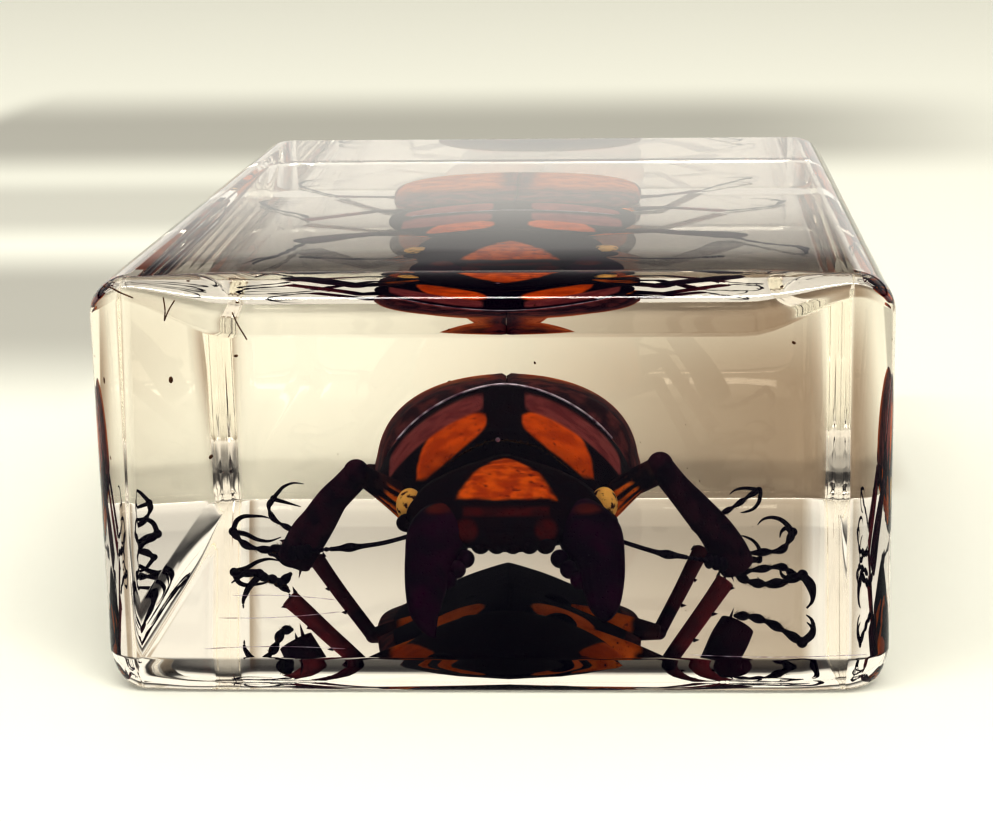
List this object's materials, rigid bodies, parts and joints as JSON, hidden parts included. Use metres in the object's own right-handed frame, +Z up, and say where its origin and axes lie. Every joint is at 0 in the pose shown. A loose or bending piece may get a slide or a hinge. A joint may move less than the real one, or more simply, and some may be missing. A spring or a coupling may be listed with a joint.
{
  "type": "insect in resin block",
  "caption": "Clear cast resin block with a whole stag beetle sealed inside, lying flat as a paperweight or study specimen.",
  "frame": {"origin": "centre of the block's base, on the surface it rests on", "axes": "+Z up, +Y from the insect's head towards its tail, +X to the right when looking along +Y"},
  "size_m": [0.04, 0.073, 0.021],
  "materials": {
    "insect": "amber and black hard shell, low gloss because it is embedded",
    "clear_resin": "clear cast resin with a faint warm tint, polished, with a few fine bubbles"
  },
  "bodies": {
    "root": {"stag_beetle": "insect", "resin_lower": "clear_resin", "resin_upper": "clear_resin"}
  },
  "joints": []
}
